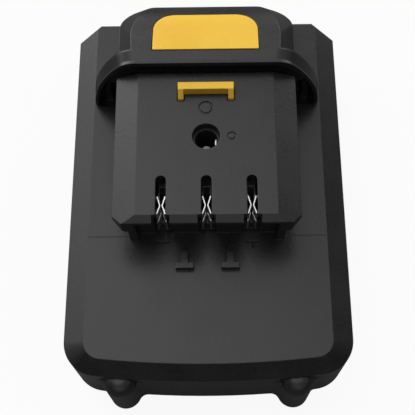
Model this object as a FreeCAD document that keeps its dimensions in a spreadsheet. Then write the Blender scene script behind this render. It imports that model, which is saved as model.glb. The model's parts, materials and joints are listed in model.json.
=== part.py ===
import FreeCAD, Part
import math
import os
import re

import Sketcher

# Slide-on battery pack for a cordless tool, lying on its base with the rail side up.
# Z is up, +Y runs from the screw pillars towards the release button, X is across the pack.
# The origin is the centre of the bottom of the pack's box. All lengths are in millimetres.

SIZES = {
    # Shell
    "body_width": 75,
    "body_length": 106.8,
    "body_height": 26,
    "shell_wall": 2.2,
    "floor_thickness": 2,
    "seam_height": 21.5,
    "skirt_height": 0.5,
    "bevel_side": 5.6,
    "bevel_near": 3.7,
    "bevel_far": 2.9,
    "corner_radius": 9,
    "top_corner_radius": 4.6,
    "near_bow_radius": 260,
    "far_corner_cut": 6,
    "top_corner_cut": 0.8,
    "base_edge_round": 0.9,
    "fit_gap": 0.1,
    "slide_gap": 0.25,
    # Screw pillars and their bosses
    "pillar_radius": 4.3,
    "pillar_out": 3.3,
    "pillar_side_set": 14.5,
    "pillar_dome": 3.4,
    "pillar_flare": 2.4,
    "boss_set": 4.6,
    "case_boss_radius": 3.6,
    "case_boss_top": 13,
    "cover_boss_radius": 2.5,
    "screw_seat": 7,
    "screw_head_radius": 2.6,
    "screw_head_height": 2.2,
    "screw_radius": 1.4,
    "screw_length": 14,
    "screw_drive_width": 2,
    "screw_clearance": 0.2,
    # Rail block
    "rail_far_set": 71.8,
    "rail_length": 41.9,
    "visor_set": 42.6,
    "rail_height": 18.5,
    "rail_width": 47.4,
    "rail_flat_width": 35.6,
    "rail_drop": 2.1,
    "rail_rim": 2,
    "rail_root": 11.5,
    "rail_lead": 1.85,
    "rail_lead_drop": 1.15,
    "rail_corner_cut": 2.3,
    "neck_width": 40.9,
    "neck_set": 1.85,
    "recess_set": 4,
    "recess_drop": 2.2,
    "slot_pitch": 11.45,
    "slot_width": 2.65,
    "slot_reach": 12.4,
    "notch_width": 4.4,
    "sill_height": 3.7,
    "notch_foot_set": 1.2,
    # Charging socket
    "jack_set": 23.35,
    "jack_hole_radius": 3.6,
    "jack_body_radius": 4.6,
    "jack_bore_radius": 2.9,
    "jack_bore_depth": 9.5,
    "jack_pin_radius": 1,
    "jack_pin_short": 5.5,
    "jack_leaf_thickness": 0.3,
    "jack_leaf_width": 1.6,
    "jack_leaf_length": 8,
    # Visor and hood
    "visor_side_set": 0.65,
    "visor_turn_width": 46.8,
    "visor_flat_width": 37,
    "visor_turn_drop": 2.3,
    "visor_height": 22.9,
    "visor_lip_drop": 0.5,
    "visor_wall": 1.6,
    "visor_side_wall": 0.8,
    "visor_waist_set": 1,
    "visor_waist_in": 0.3,
    "visor_swell": 0.2,
    "visor_back_set": 0.5,
    "visor_taper_length": 3.5,
    "visor_taper_in": 6.5,
    "pocket_taper": 1.9,
    "pocket_depth": 5.4,
    "pocket_width": 53.2,
    "pocket_height": 8.5,
    "pocket_centre_depth": 2.6,
    "pocket_floor_drop": 1.2,
    "trench_floor": 40.6,
    "tunnel_ceiling": 39,
    "crest_set": 3.6,
    "hood_top_width": 39.1,
    "hood_base_width": 50.8,
    "hood_slope": 12,
    "hood_radius": 17.3,
    "hood_foot_radius": 4,
    "hood_top_radius": 10.5,
    "hood_foot_reach": 4.2,
    "hood_top_set": 8.1,
    "hood_hollow_width": 33,
    "hood_hollow_height": 11,
    "hood_back_wall": 4.5,
    # Release latch
    "button_width": 27.8,
    "button_length": 12.7,
    "button_corner_radius": 6,
    "button_proud": 0.15,
    "button_wall": 1.8,
    "button_roof": 43.5,
    "arm_height": 36,
    "arm_thickness": 2.2,
    "arm_width": 18,
    "hook_set": 37.8,
    "hook_width": 14.5,
    "hook_bar": 2.05,
    "hook_leg_width": 1.45,
    "hook_leg_length": 1.9,
    "hook_proud": 2.4,
    "hook_leg_drop": 1.9,
    "hook_base_width": 16,
    "hook_base_length": 4.6,
    "hook_stop_gap": 0.2,
    "spring_spacing": 15,
    "spring_set": 6.5,
    "spring_radius": 2.8,
    "spring_wire": 0.7,
    "spring_pitch": 2.8,
    "spring_pin_radius": 1.6,
    "spring_pin_height": 4.3,
    "retainer_width": 40,
    "retainer_thickness": 1.7,
    "retainer_near_lap": 0.9,
    "retainer_far_lap": 1.9,
    "retainer_screw_spacing_x": 36.8,
    "retainer_screw_near": 1.6,
    "retainer_screw_far": 18.6,
    "retainer_screw_radius": 0.9,
    "retainer_screw_length": 5.5,
    "retainer_head_radius": 1.7,
    "retainer_head_height": 0.9,
    # Cells and what holds them
    "cell_diameter": 18.3,
    "cell_end_room": 5,
    "cell_gap": 0.2,
    "cell_set": 18.4,
    "cell_far_set": 14.2,
    "cell_cap_radius": 4,
    "cell_cap_height": 0.8,
    "cell_groove_set": 4,
    "cell_groove_depth": 0.5,
    "holder_width": 8.5,
    "holder_wall": 0.8,
    "holder_top": 21.9,
    "holder_bottom": 2.1,
    "holder_gap": 0.05,
    "strip_thickness": 0.3,
    "strip_height": 7,
    "strip_end": 4,
    "tab_width": 4,
    "tab_top": 22.25,
    "sheet_thickness": 0.25,
    "sheet_top": 20.8,
    "sheet_bottom": 3,
    "rib_width": 1.4,
    "rib_top": 19,
    "pad_side_gap": 2,
    "pad_thickness": 0.9,
    # Board, tray, terminals
    "tray_side_gap": 0.7,
    "tray_length": 36,
    "tray_set": 5,
    "tray_thickness": 0.6,
    "board_height": 24.5,
    "board_thickness": 1.6,
    "board_width": 33.2,
    "board_length": 33.6,
    "board_post_radius": 1.8,
    "board_post_inset": 3,
    "terminal_width": 33.4,
    "terminal_length": 7.8,
    "terminal_top": 41.8,
    "terminal_floor": 29,
    "terminal_back": 0.9,
    "contact_bottom": 31,
    "contact_top": 42.1,
    "contact_half_width": 1.1,
    "contact_flare": 0.12,
    "contact_thickness": 0.3,
    "contact_rear_top": 36,
    "contact_pinch": 0.15,
    "contact_tip_set": 1.2,
    "contact_pinch_set": 3.4,
    "contact_shoulder_set": 5.6,
    "contact_split_low": 36.6,
    "contact_split_high": 38.2,
    "contact_tail_width": 1.2,
    "chip_size": 7,
    "chip_height": 1,
    "chip_x": 9.5,
    "chip_set": 13,
    "transistor_width": 6.5,
    "transistor_length": 9,
    "transistor_height": 2.3,
    "transistor_x": 11.5,
    "transistor_set": 23,
    "capacitor_radius": 2,
    "capacitor_height": 4.5,
    "capacitor_x": 10,
    "capacitor_set": 14,
    # Marks and keys on the top
    "key_set": 6.55,
    "key_spacing": 12,
    "key_bar_width": 4.7,
    "key_bar_depth": 1.75,
    "key_stem_width": 1.8,
    "key_stem_length": 3,
    "key_height": 2,
    "mark_depth": 0.3,
    "mark_width": 0.45,
    "mark_length": 3.5,
    "mark_set": 1.35,
    "mark_spacing": 24.1,
    "ring_large_radius": 1.9,
    "ring_large_set": 31.6,
    "ring_small_radius": 1.2,
    "ring_small_x": 6.6,
    "step_width": 0.3,
    "step_set": 2.7,
    "step_margin": 0.3,
    "step_depth": 0.08,
    # Tongues that hook the cover to the far wall of the case
    "tongue_width": 12,
    "tongue_thickness": 1.3,
    "tongue_bottom": 17,
    "tongue_x": 8,
}

doc = FreeCAD.newDocument("tool_battery")
sheet = doc.addObject("Spreadsheet::Sheet", "Sizes")
for row, (name, number) in enumerate(SIZES.items(), 1):
    sheet.set(f"A{row}", name)
    sheet.set(f"B{row}", str(number))
    sheet.setAlias(f"B{row}", name)

# Dimensions and levels that follow from the driving ones
place_rules = {}


def place(name, rule):
    """Name a dimension or level that follows from the driving ones."""
    place_rules[name] = rule


def bind(rule):
    """Turn a rule in plain names into an expression on the sheet's cells."""

    def swap(match):
        word = match.group(0)
        if word in place_rules:
            return "(" + bind(place_rules[word]) + ")"
        return "Sizes." + word if word in SIZES else word

    return re.sub(r"[a-z_][a-z_0-9]*", swap, str(rule))


def value(rule):
    """The present value of a rule."""
    return float(sheet.evalExpression(bind(rule)))


place("half_width", "body_width / 2")
place("near_y", "(pillar_out - body_length) / 2")
place("far_y", "(pillar_out + body_length) / 2")
place("shoulder", "body_height")
place("underside", "body_height - shell_wall")
place("bevel_foot", "seam_height + skirt_height")
place("pillar_spacing", "body_width - 2 * pillar_side_set")
place("pillar_y", "near_y - pillar_out + pillar_radius")
place("pillar_top", "seam_height - skirt_height")
place("rail_near", "far_y - rail_far_set")
place("neck_near", "rail_near + neck_set")
place("wall_near", "rail_near + recess_set")
place("hollow_near", "wall_near + shell_wall")
place("rail_top", "shoulder + rail_height")
place("rail_ceiling", "rail_top - rail_drop")
place("hollow_half", "neck_width / 2 - shell_wall")
place("rail_far", "rail_near + rail_length")
place("visor_foot_width", "body_width - 2 * bevel_side - 2 * visor_side_set")
place("visor_near", "rail_near + visor_set")
place("pocket_far", "visor_near + pocket_centre_depth")
place("crest_y", "visor_near + crest_set")
place("visor_back", "crest_y + visor_back_set")
place("hood_near", "visor_back - fit_gap")
place("hood_far", "far_y - bevel_far")
place("hood_centre_y", "hood_far - hood_radius")
place("hood_bend_y", "hood_centre_y + hood_radius * sin(hood_slope * 1 deg)")
place("hood_bend_z", "shoulder + visor_height - (hood_bend_y - crest_y) * tan(hood_slope * 1 deg)")
place("hood_centre_z", "hood_bend_z - hood_radius * cos(hood_slope * 1 deg)")
place("hood_hollow_far", "hood_far - hood_back_wall")
place("hood_hollow_top", "shoulder + hood_hollow_height")
place("jack_y", "rail_near + jack_set")
place("hook_y", "rail_near + hook_set")
place("button_far", "crest_y + slide_gap + button_length")
place("boss_y", "near_y + boss_set")
place("spring_y", "crest_y + spring_set")
place("retainer_top", "underside - fit_gap")
place("retainer_bottom", "retainer_top - retainer_thickness")
place("retainer_near", "crest_y - retainer_near_lap")
place("retainer_far", "hood_hollow_far + retainer_far_lap")
place("cell_radius", "cell_diameter / 2")
place("cell_height", "floor_thickness + pad_thickness + holder_gap + cell_radius")
place("cell_pitch", "cell_diameter + cell_gap")
place("cell_count", "floor((body_length - cell_set - cell_far_set) / cell_pitch) + 1")
place("first_cell", "near_y + cell_set")
place("last_cell", "first_cell + (cell_count - 1) * cell_pitch")
place("cell_end", "half_width - cell_end_room")
place("holder_inner", "cell_end - holder_width")
place("pad_half_width", "holder_inner - pad_side_gap")
place("tray_width", "2 * (holder_inner - tray_side_gap)")
place("tray_near", "rail_near + tray_set")
place("tray_bottom", "cell_height + cell_radius + holder_gap")
place("board_near", "hollow_near + 2 * fit_gap")
place("board_top", "board_height + board_thickness")
place("terminal_far", "board_near + terminal_length")


def moulding(name):
    """An empty body that becomes one sub-part."""
    body = doc.addObject("PartDesign::Body", name)
    body.Label = name
    body.AllowCompound = True
    return body


def origin_plane(body, role):
    return next(plane for plane in body.Origin.OriginFeatures if plane.Role == role)


def arc_between(start, end, radius):
    """An arc from start to end; a positive radius turns left, a negative one right."""
    turn = 1 if radius > 0 else -1
    chord = end - start
    reach = math.sqrt(max(radius * radius - chord.Length * chord.Length / 4, 0))
    side = FreeCAD.Vector(-chord.y, chord.x, 0).normalize()
    centre = (start + end) / 2 + side * reach * turn
    first, last = (start, end) if turn > 0 else (end, start)
    angles = [math.atan2(point.y - centre.y, point.x - centre.x) for point in (first, last)]
    circle = Part.Circle(centre, FreeCAD.Vector(0, 0, 1), abs(radius))
    return Part.ArcOfCircle(circle, angles[0], angles[1])


def hold(sketch, kind, *rest):
    """Add one driving constraint and bind it to a rule."""
    index = sketch.addConstraint(Sketcher.Constraint(kind, *rest[:-1], value(rest[-1])))
    sketch.setExpression(f"Constraints[{index}]", bind(rest[-1]))


def draw(sketch, corners):
    """Draw a closed outline. Each corner is (x, y), or (x, y, radius) where an arc leads on."""
    if len(corners) == 1:
        x, y, radius = corners[0]
        centre = FreeCAD.Vector(value(x), value(y), 0)
        ring = sketch.addGeometry(Part.Circle(centre, FreeCAD.Vector(0, 0, 1), value(radius)))
        hold(sketch, "DistanceX", ring, 3, x)
        hold(sketch, "DistanceY", ring, 3, y)
        hold(sketch, "Radius", ring, radius)
        return
    points = [FreeCAD.Vector(value(corner[0]), value(corner[1]), 0) for corner in corners]
    ends = []
    for index, corner in enumerate(corners):
        start, end = points[index], points[(index + 1) % len(points)]
        if len(corner) == 3:
            radius = value(corner[2])
            edge = sketch.addGeometry(arc_between(start, end, radius))
            ends.append((edge, 1, 2) if radius > 0 else (edge, 2, 1))
            hold(sketch, "Radius", edge, f"abs({corner[2]})")
        else:
            edge = sketch.addGeometry(Part.LineSegment(start, end))
            ends.append((edge, 1, 2))
    for index, corner in enumerate(corners):
        edge, start, end = ends[index]
        following = ends[(index + 1) % len(ends)]
        sketch.addConstraint(Sketcher.Constraint("Coincident", edge, end, following[0], following[1]))
        hold(sketch, "DistanceX", edge, start, corner[0])
        hold(sketch, "DistanceY", edge, start, corner[1])


def outline(body, name, role, level, loops):
    """A sketch on one of the body's own planes, shifted along the plane's normal."""
    sketch = body.newObject("Sketcher::SketchObject", name)
    sketch.AttachmentSupport = [(origin_plane(body, role), "")]
    sketch.MapMode = "FlatFace"
    sketch.setExpression("AttachmentOffset.Base.z", bind(level))
    for corners in loops:
        draw(sketch, corners)
    return sketch


def pad(body, name, role, low, high, loops):
    """Add material between two levels along Z (XY_Plane), Y (XZ_Plane) or X (YZ_Plane)."""
    level = f"-({high})" if role == "XZ_Plane" else low
    sketch = outline(body, name + "_sketch", role, level, loops)
    feature = body.newObject("PartDesign::Pad", name)
    feature.Profile = sketch
    feature.setExpression("Length", bind(f"({high}) - ({low})"))
    return feature


def cut(body, name, role, low, high, loops):
    """Remove material between two levels along Z (XY_Plane), Y (XZ_Plane) or X (YZ_Plane)."""
    level = f"-({low})" if role == "XZ_Plane" else high
    sketch = outline(body, name + "_sketch", role, level, loops)
    feature = body.newObject("PartDesign::Pocket", name)
    feature.Profile = sketch
    feature.setExpression("Length", bind(f"({high}) - ({low})"))
    return feature


def blend(body, name, kind, role, stations):
    """A straight-sided loft through outlines at levels along Z (XY_Plane) or Y (XZ_Plane)."""
    sign = "-" if role == "XZ_Plane" else ""
    sections = [
        outline(body, f"{name}_{number + 1}", role, f"{sign}({level})", [corners])
        for number, (level, corners) in enumerate(stations)
    ]
    feature = body.newObject(kind, name)
    feature.Profile = sections[0]
    feature.Sections = sections[1:]
    feature.Ruled = True
    return feature


def round_edges(body, name, radius, wanted):
    """Fillet the edges of the body's tip that the test picks."""
    doc.recompute()
    base = body.Tip
    names = [f"Edge{i + 1}" for i, edge in enumerate(base.Shape.Edges) if wanted(edge)]
    feature = body.newObject("PartDesign::Fillet", name)
    feature.Base = (base, names)
    feature.setExpression("Radius", bind(radius))
    return feature


def box(x_low, y_low, x_high, y_high):
    return [(x_low, y_low), (x_high, y_low), (x_high, y_high), (x_low, y_high)]


def wide_box(width, y_low, y_high):
    """A rectangle centred on the second axis."""
    return box(f"-({width}) / 2", y_low, f"({width}) / 2", y_high)


def both_sides(x_low, y_low, x_high, y_high):
    """Two rectangles, mirrored across the second axis."""
    return [box(x_low, y_low, x_high, y_high), box(f"-({x_high})", y_low, f"-({x_low})", y_high)]


def mirrored(corners):
    """The same outline on the other side of the second axis."""
    flipped = []
    for index in range(len(corners) - 1, -1, -1):
        x, y = corners[index][:2]
        flipped.append((f"-({x})", y) + tuple(corners[index - 1][2:]))
    return flipped


def shell_outline(inset, bevel_in, near_in, far_in, radius, corner_cut):
    """The plan of the shell: straight sides, bowed near end, round near corners, cut far corners."""
    half = f"(half_width - ({bevel_in}) - ({inset}))"
    near = f"(near_y + ({near_in}) + ({inset}))"
    far = f"(far_y - ({far_in}) - ({inset}))"
    turn = f"(({radius}) - ({inset}))"
    chamfer = f"(({corner_cut}) - ({inset}) * (2 - sqrt(2)))"
    bow = f"(near_bow_radius - ({inset}))"
    bow_y = f"({near} + {bow})"
    corner_x = f"({half} - {turn})"
    corner_y = f"({bow_y} - sqrt(pow({bow} - {turn}; 2) - pow({corner_x}; 2)))"
    stretch = f"({bow} / ({bow} - {turn}))"
    meet_x = f"({corner_x} * {stretch})"
    meet_y = f"({bow_y} + ({corner_y} - {bow_y}) * {stretch})"
    return [
        (f"-{meet_x}", meet_y, bow),
        (meet_x, meet_y, turn),
        (half, corner_y),
        (half, f"{far} - {chamfer}"),
        (f"{half} - {chamfer}", far),
        (f"{chamfer} - {half}", far),
        (f"-{half}", f"{far} - {chamfer}"),
        (f"-{half}", corner_y, turn),
    ]


def rim(inset):
    return shell_outline(inset, "0", "0", "0", "corner_radius", "far_corner_cut")


def crown(inset):
    cut_size = f"top_corner_cut + ({inset}) * (2 - sqrt(2))"
    return shell_outline(inset, "bevel_side", "bevel_near", "bevel_far", "top_corner_radius", cut_size)


def arch(side_in, top_in, foot_level):
    """The visor's cross-section: upright feet, long arcs, and tighter arcs into a flat top."""
    foot_x = f"(visor_foot_width / 2 - ({side_in}))"
    turn_x = f"(visor_turn_width / 2 - ({side_in}))"
    flat_x = f"(visor_flat_width / 2 - ({side_in}) / 2)"
    top_z = f"(shoulder + visor_height - ({top_in}))"
    turn_z = f"({top_z} - visor_turn_drop)"
    lean = f"({foot_x} - {turn_x})"
    side_bend = f"((pow({lean}; 2) + pow({turn_z} - shoulder; 2)) / (2 * {lean}))"
    top_bend = f"((pow({turn_x} - {flat_x}; 2) + pow(visor_turn_drop; 2)) / (2 * visor_turn_drop))"
    return [
        (f"-{foot_x}", foot_level),
        (foot_x, foot_level),
        (foot_x, "shoulder", side_bend),
        (turn_x, turn_z, top_bend),
        (flat_x, top_z),
        (f"-{flat_x}", top_z, top_bend),
        (f"-{turn_x}", turn_z, side_bend),
        (f"-{foot_x}", "shoulder"),
    ]


def hood_plan(width, far, radius):
    """The hood from above: square at the visor, round corners at the far end."""
    half = f"({width} / 2)"
    return [
        (f"-{half}", "hood_near"),
        (half, "hood_near"),
        (half, f"{far} - {radius}", radius),
        (f"{half} - {radius}", far),
        (f"{radius} - {half}", far, radius),
        (f"-{half}", f"{far} - {radius}"),
    ]


def slope_cut(lift):
    """Everything above the hood's falling top and round back, seen from the side."""
    high = "shoulder + 2 * visor_height"
    rise = f"({lift})"
    radius = f"(hood_radius + {rise})"
    bend_y = f"(hood_bend_y + {rise} * sin(hood_slope * 1 deg))"
    bend_z = f"(hood_bend_z + {rise} * cos(hood_slope * 1 deg))"
    start_y = "crest_y"
    start_z = f"({bend_z} + ({bend_y} - crest_y) * tan(hood_slope * 1 deg))"
    return [
        (start_y, start_z),
        (bend_y, bend_z, f"-{radius}"),
        (f"hood_far + {rise}", "hood_centre_z"),
        (f"hood_far + {rise}", "shoulder"),
        ("far_y + hood_radius", "shoulder"),
        ("far_y + hood_radius", high),
        (start_y, high),
    ]


def hook_shape(grow):
    """The plan of the latch hook: a bar with a leg at each end."""
    outer = f"(hook_width / 2 + {grow})"
    inner = f"(hook_width / 2 - hook_leg_width - {grow})"
    bar_far = f"(hook_y + {grow})"
    bar_near = f"(hook_y - hook_bar - {grow})"
    leg_near = f"(hook_y - hook_bar - hook_leg_length - {grow})"
    return [
        (f"-{outer}", leg_near),
        (f"-{inner}", leg_near),
        (f"-{inner}", bar_near),
        (inner, bar_near),
        (inner, leg_near),
        (outer, leg_near),
        (outer, bar_far),
        (f"-{outer}", bar_far),
    ]


def button_shape(grow):
    """The plan of the button: square near corners and round far corners."""
    half = f"(button_width / 2 + {grow})"
    near = f"(crest_y + slide_gap - {grow})"
    far = f"(button_far + {grow})"
    turn = f"(button_corner_radius + {grow})"
    return [
        (f"-{half}", near),
        (half, near),
        (half, f"{far} - {turn}", turn),
        (f"{half} - {turn}", far),
        (f"{turn} - {half}", far, turn),
        (f"-{half}", f"{far} - {turn}"),
    ]


def build_bottom_case():
    """Lower shell with two screw pillars outside its near wall."""
    body = moulding("bottom_case")
    pillar = [("pillar_spacing / 2", "pillar_y", "pillar_radius")]
    pillars = [pillar, mirrored(pillar)]
    pad(body, "pillars", "XY_Plane", "0", "pillar_top", pillars)
    dome_level = value("pillar_top")
    round_edges(body, "pillar_domes", "pillar_dome", lambda edge: lies_at(edge, dome_level))
    pad(body, "case_block", "XY_Plane", "0", "seam_height", [rim("0")])
    flare = pillar_flare()
    pad(body, "pillar_flares", "XY_Plane", "0", "pillar_top - pillar_dome", [flare, mirrored(flare)])
    round_edges(body, "base_edge", "base_edge_round", lambda edge: lies_at(edge, 0))
    cut(body, "case_cavity", "XY_Plane", "floor_thickness", "seam_height + 1", [rim("shell_wall")])
    bosses = [[(f"{side} * pillar_spacing / 2", "boss_y", "case_boss_radius")] for side in ("-1", "1")]
    pad(body, "case_bosses", "XY_Plane", "0", "case_boss_top", bosses)
    sockets = [
        [(f"{side} * pillar_spacing / 2", "boss_y", "cover_boss_radius + fit_gap")]
        for side in ("-1", "1")
    ]
    cut(body, "boss_sockets", "XY_Plane", "case_boss_top", "seam_height", sockets)
    seats = [
        [(f"{side} * pillar_spacing / 2", "boss_y", "screw_head_radius + screw_clearance")]
        for side in ("-1", "1")
    ]
    cut(body, "screw_seats", "XY_Plane", "0", "screw_seat", seats)
    holes = [
        [(f"{side} * pillar_spacing / 2", "boss_y", "screw_radius + screw_clearance")]
        for side in ("-1", "1")
    ]
    cut(body, "screw_holes", "XY_Plane", "0", "case_boss_top", holes)
    ribs = []
    for valley in range(1, int(value("cell_count"))):
        middle = f"first_cell + ({valley} - 1 / 2) * cell_pitch"
        low, high = f"{middle} - rib_width / 2", f"{middle} + rib_width / 2"
        rib_face = "cell_end + strip_thickness + sheet_thickness + 2 * fit_gap"
        ribs += both_sides(rib_face, low, "half_width - shell_wall / 2", high)
    pad(body, "case_ribs", "XY_Plane", "floor_thickness / 2", "rib_top", ribs)
    return body


def lies_at(edge, level):
    box_of = edge.BoundBox
    return abs(box_of.ZMin - level) < 1e-4 and abs(box_of.ZMax - level) < 1e-4


def pillar_flare():
    """Concave arcs that lead the bowed near wall into a pillar, tangent to both."""
    bow_y = "(near_y + near_bow_radius)"
    nose_x = "(pillar_spacing / 2)"
    apart = f"sqrt(pow({nose_x}; 2) + pow({bow_y} - pillar_y; 2))"
    from_bow = "(near_bow_radius + pillar_flare)"
    from_nose = "(pillar_radius + pillar_flare)"
    along = f"((pow({from_bow}; 2) - pow({from_nose}; 2) + pow({apart}; 2)) / (2 * {apart}))"
    aside = f"sqrt(pow({from_bow}; 2) - pow({along}; 2))"
    way_x = f"({nose_x} / {apart})"
    way_y = f"((pillar_y - {bow_y}) / {apart})"
    bow_points = []
    nose_points = []
    for sign in ("-", "+"):
        arc_x = f"({along} * {way_x} {sign} {aside} * (0 - {way_y}))"
        arc_y = f"({bow_y} + {along} * {way_y} {sign} {aside} * {way_x})"
        share = f"(near_bow_radius / {from_bow})"
        bow_points.append((f"{arc_x} * {share}", f"{bow_y} + ({arc_y} - {bow_y}) * {share}"))
        share = f"(pillar_radius / {from_nose})"
        nose_points.append((f"{nose_x} + ({arc_x} - {nose_x}) * {share}",
                            f"pillar_y + ({arc_y} - pillar_y) * {share}"))
    return [
        bow_points[0] + ("-pillar_flare",),
        nose_points[0],
        nose_points[1] + ("-pillar_flare",),
        bow_points[1],
    ]


def build_top_cover():
    """Upper shell with the rail block, the visor and the hood in one moulding."""
    body = moulding("top_cover")
    pad(body, "skirt", "XY_Plane", "seam_height", "bevel_foot", [rim("0")])
    blend(body, "bevel", "PartDesign::AdditiveLoft", "XY_Plane",
          [("bevel_foot", rim("0")), ("shoulder", crown("0"))])
    blend(body, "visor", "PartDesign::AdditiveLoft", "XZ_Plane", [
        ("visor_near", arch("0", "visor_lip_drop", "underside")),
        ("visor_near + visor_waist_set", arch("visor_waist_in", "visor_lip_drop", "underside")),
        ("crest_y", arch("-visor_swell", "0", "underside")),
        ("visor_back", arch("-visor_swell", "0", "underside")),
        ("visor_back + visor_taper_length", arch("visor_taper_in", "visor_taper_in", "underside")),
    ])
    hood_foot = hood_plan("hood_base_width", "(hood_far + hood_foot_reach)", "hood_foot_radius")
    hood_crest = hood_plan("hood_top_width", "(hood_far - hood_top_set)", "hood_top_radius")
    blend(body, "hood", "PartDesign::AdditiveLoft", "XY_Plane",
          [("shoulder", hood_foot), ("shoulder + visor_height", hood_crest)])
    pocket_floor = "shoulder - pocket_floor_drop"
    pocket_top = "visor_lip_drop + visor_wall"
    blend(body, "visor_pocket", "PartDesign::SubtractiveLoft", "XZ_Plane", [
        ("visor_near", arch("visor_side_wall", pocket_top, pocket_floor)),
        ("pocket_far", arch("visor_side_wall + pocket_taper", pocket_top, pocket_floor)),
    ])
    cut_deep_pockets(body)
    cut(body, "hood_slope_cut", "YZ_Plane", "-half_width", "half_width", [slope_cut("0")])
    build_rail(body)
    hollow_cover(body)
    open_cover(body)
    add_keys_and_marks(body)
    return body


def cut_deep_pockets(body):
    """The visor's pocket runs deeper beside the rail block, where the tool's rails end."""
    inner = "hood_hollow_width / 2 + visor_wall"
    pockets = both_sides(inner, "shoulder - pocket_floor_drop",
                         "pocket_width / 2", "shoulder + pocket_height")
    cut(body, "rail_pockets", "XZ_Plane", "visor_near", "visor_near + pocket_depth", pockets)


def build_rail(body):
    """The rail block: a neck under a wider head with slanted shoulders."""
    join = "visor_near + pocket_centre_depth + visor_wall / 2"
    neck = wide_box("neck_width", "underside", "shoulder + rail_root")
    pad(body, "rail_neck", "XZ_Plane", "neck_near", join, [neck])
    bridge = wide_box("neck_width", "shoulder + rail_root - 1", "trench_floor")
    pad(body, "trench_bridge", "XZ_Plane", "rail_far - 1", join, [bridge])
    head = [
        ("-neck_width / 2", "shoulder + rail_root"),
        ("neck_width / 2", "shoulder + rail_root"),
        ("rail_width / 2", "rail_ceiling - rail_rim"),
        ("rail_width / 2", "rail_ceiling"),
        ("rail_flat_width / 2", "rail_top"),
        ("-rail_flat_width / 2", "rail_top"),
        ("-rail_width / 2", "rail_ceiling"),
        ("-rail_width / 2", "rail_ceiling - rail_rim"),
    ]
    pad(body, "rail_head", "XZ_Plane", "rail_near", "rail_far", [head])
    lead = [
        ("rail_near", "rail_top - rail_lead_drop"),
        ("rail_near + rail_lead", "rail_top"),
        ("rail_near + rail_lead", "rail_top + rail_drop"),
        ("rail_near - rail_lead", "rail_top + rail_drop"),
        ("rail_near - rail_lead", "rail_top - rail_lead_drop"),
    ]
    cut(body, "rail_lead_in", "YZ_Plane", "-rail_width / 2 - 1", "rail_width / 2 + 1", [lead])
    corners = []
    for side in ("-1", "1"):
        corners.append([
            (f"{side} * (rail_width / 2 - rail_corner_cut)", "rail_near"),
            (f"{side} * rail_width / 2", "rail_near + rail_corner_cut"),
            (f"{side} * (rail_width / 2 + 1)", "rail_near + rail_corner_cut"),
            (f"{side} * (rail_width / 2 + 1)", "rail_near - 1"),
            (f"{side} * (rail_width / 2 - rail_corner_cut)", "rail_near - 1"),
        ])
    cut(body, "rail_corners", "XY_Plane", "shoulder", "rail_top", corners)
    recess = wide_box("2 * hollow_half", "rail_near - 1", "wall_near")
    cut(body, "terminal_recess", "XY_Plane", "shoulder", "rail_top - recess_drop", [recess])
    feet = [
        slot_box(index, "notch_width", "wall_near - 1", "wall_near + notch_foot_set")
        for index in (-1, 0, 1)
    ]
    cut(body, "notch_feet", "XY_Plane", "shoulder", "shoulder + sill_height", feet)


def slot_box(index, width, near, far):
    middle = f"{index} * slot_pitch"
    return box(f"{middle} - ({width}) / 2", near, f"{middle} + ({width}) / 2", far)


def hollow_cover(body):
    """Empty the shell, the rail block and the hood from below."""
    blend(body, "cover_cavity", "PartDesign::SubtractiveLoft", "XY_Plane",
          [("seam_height", rim("shell_wall")), ("underside", crown("shell_wall"))])
    block_space = wide_box("2 * hollow_half", "hollow_near", "rail_far - visor_wall")
    cut(body, "rail_hollow", "XY_Plane", "underside - 1", "rail_ceiling", [block_space])
    tunnel = wide_box("hood_hollow_width", "rail_far - 2 * visor_wall", "crest_y + visor_wall")
    cut(body, "tunnel", "XY_Plane", "underside - 1", "tunnel_ceiling", [tunnel])
    bay = wide_box("hood_hollow_width", "crest_y", "hood_hollow_far")
    cut(body, "hood_hollow", "XY_Plane", "underside - 1", "hood_hollow_top", [bay])
    pin_holes = retainer_points("retainer_screw_radius + fit_gap / 2")
    cut(body, "retainer_holes", "XY_Plane", "underside - 1", "underside + retainer_screw_length", pin_holes)
    bosses = [[(f"{side} * pillar_spacing / 2", "boss_y", "cover_boss_radius")] for side in ("-1", "1")]
    pad(body, "cover_bosses", "XY_Plane", "case_boss_top + fit_gap", "bevel_foot + 1", bosses)
    pilots = [
        [(f"{side} * pillar_spacing / 2", "boss_y", "screw_radius + fit_gap / 2")]
        for side in ("-1", "1")
    ]
    cut(body, "pilot_holes", "XY_Plane", "case_boss_top", "screw_seat + screw_length + 1", pilots)
    inner_far = "far_y - shell_wall - fit_gap"
    tongues = both_sides("tongue_x", f"{inner_far} - tongue_thickness", "tongue_x + tongue_width", inner_far)
    pad(body, "tongues", "XY_Plane", "tongue_bottom", "seam_height + skirt_height / 2", tongues)
    return body


def retainer_points(radius):
    """The four fixing points of the latch retainer."""
    points = []
    for side in ("-1", "1"):
        for along in ("retainer_screw_near", "retainer_screw_far"):
            points.append([(f"{side} * retainer_screw_spacing_x / 2", f"crest_y + {along}", radius)])
    return points


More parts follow.
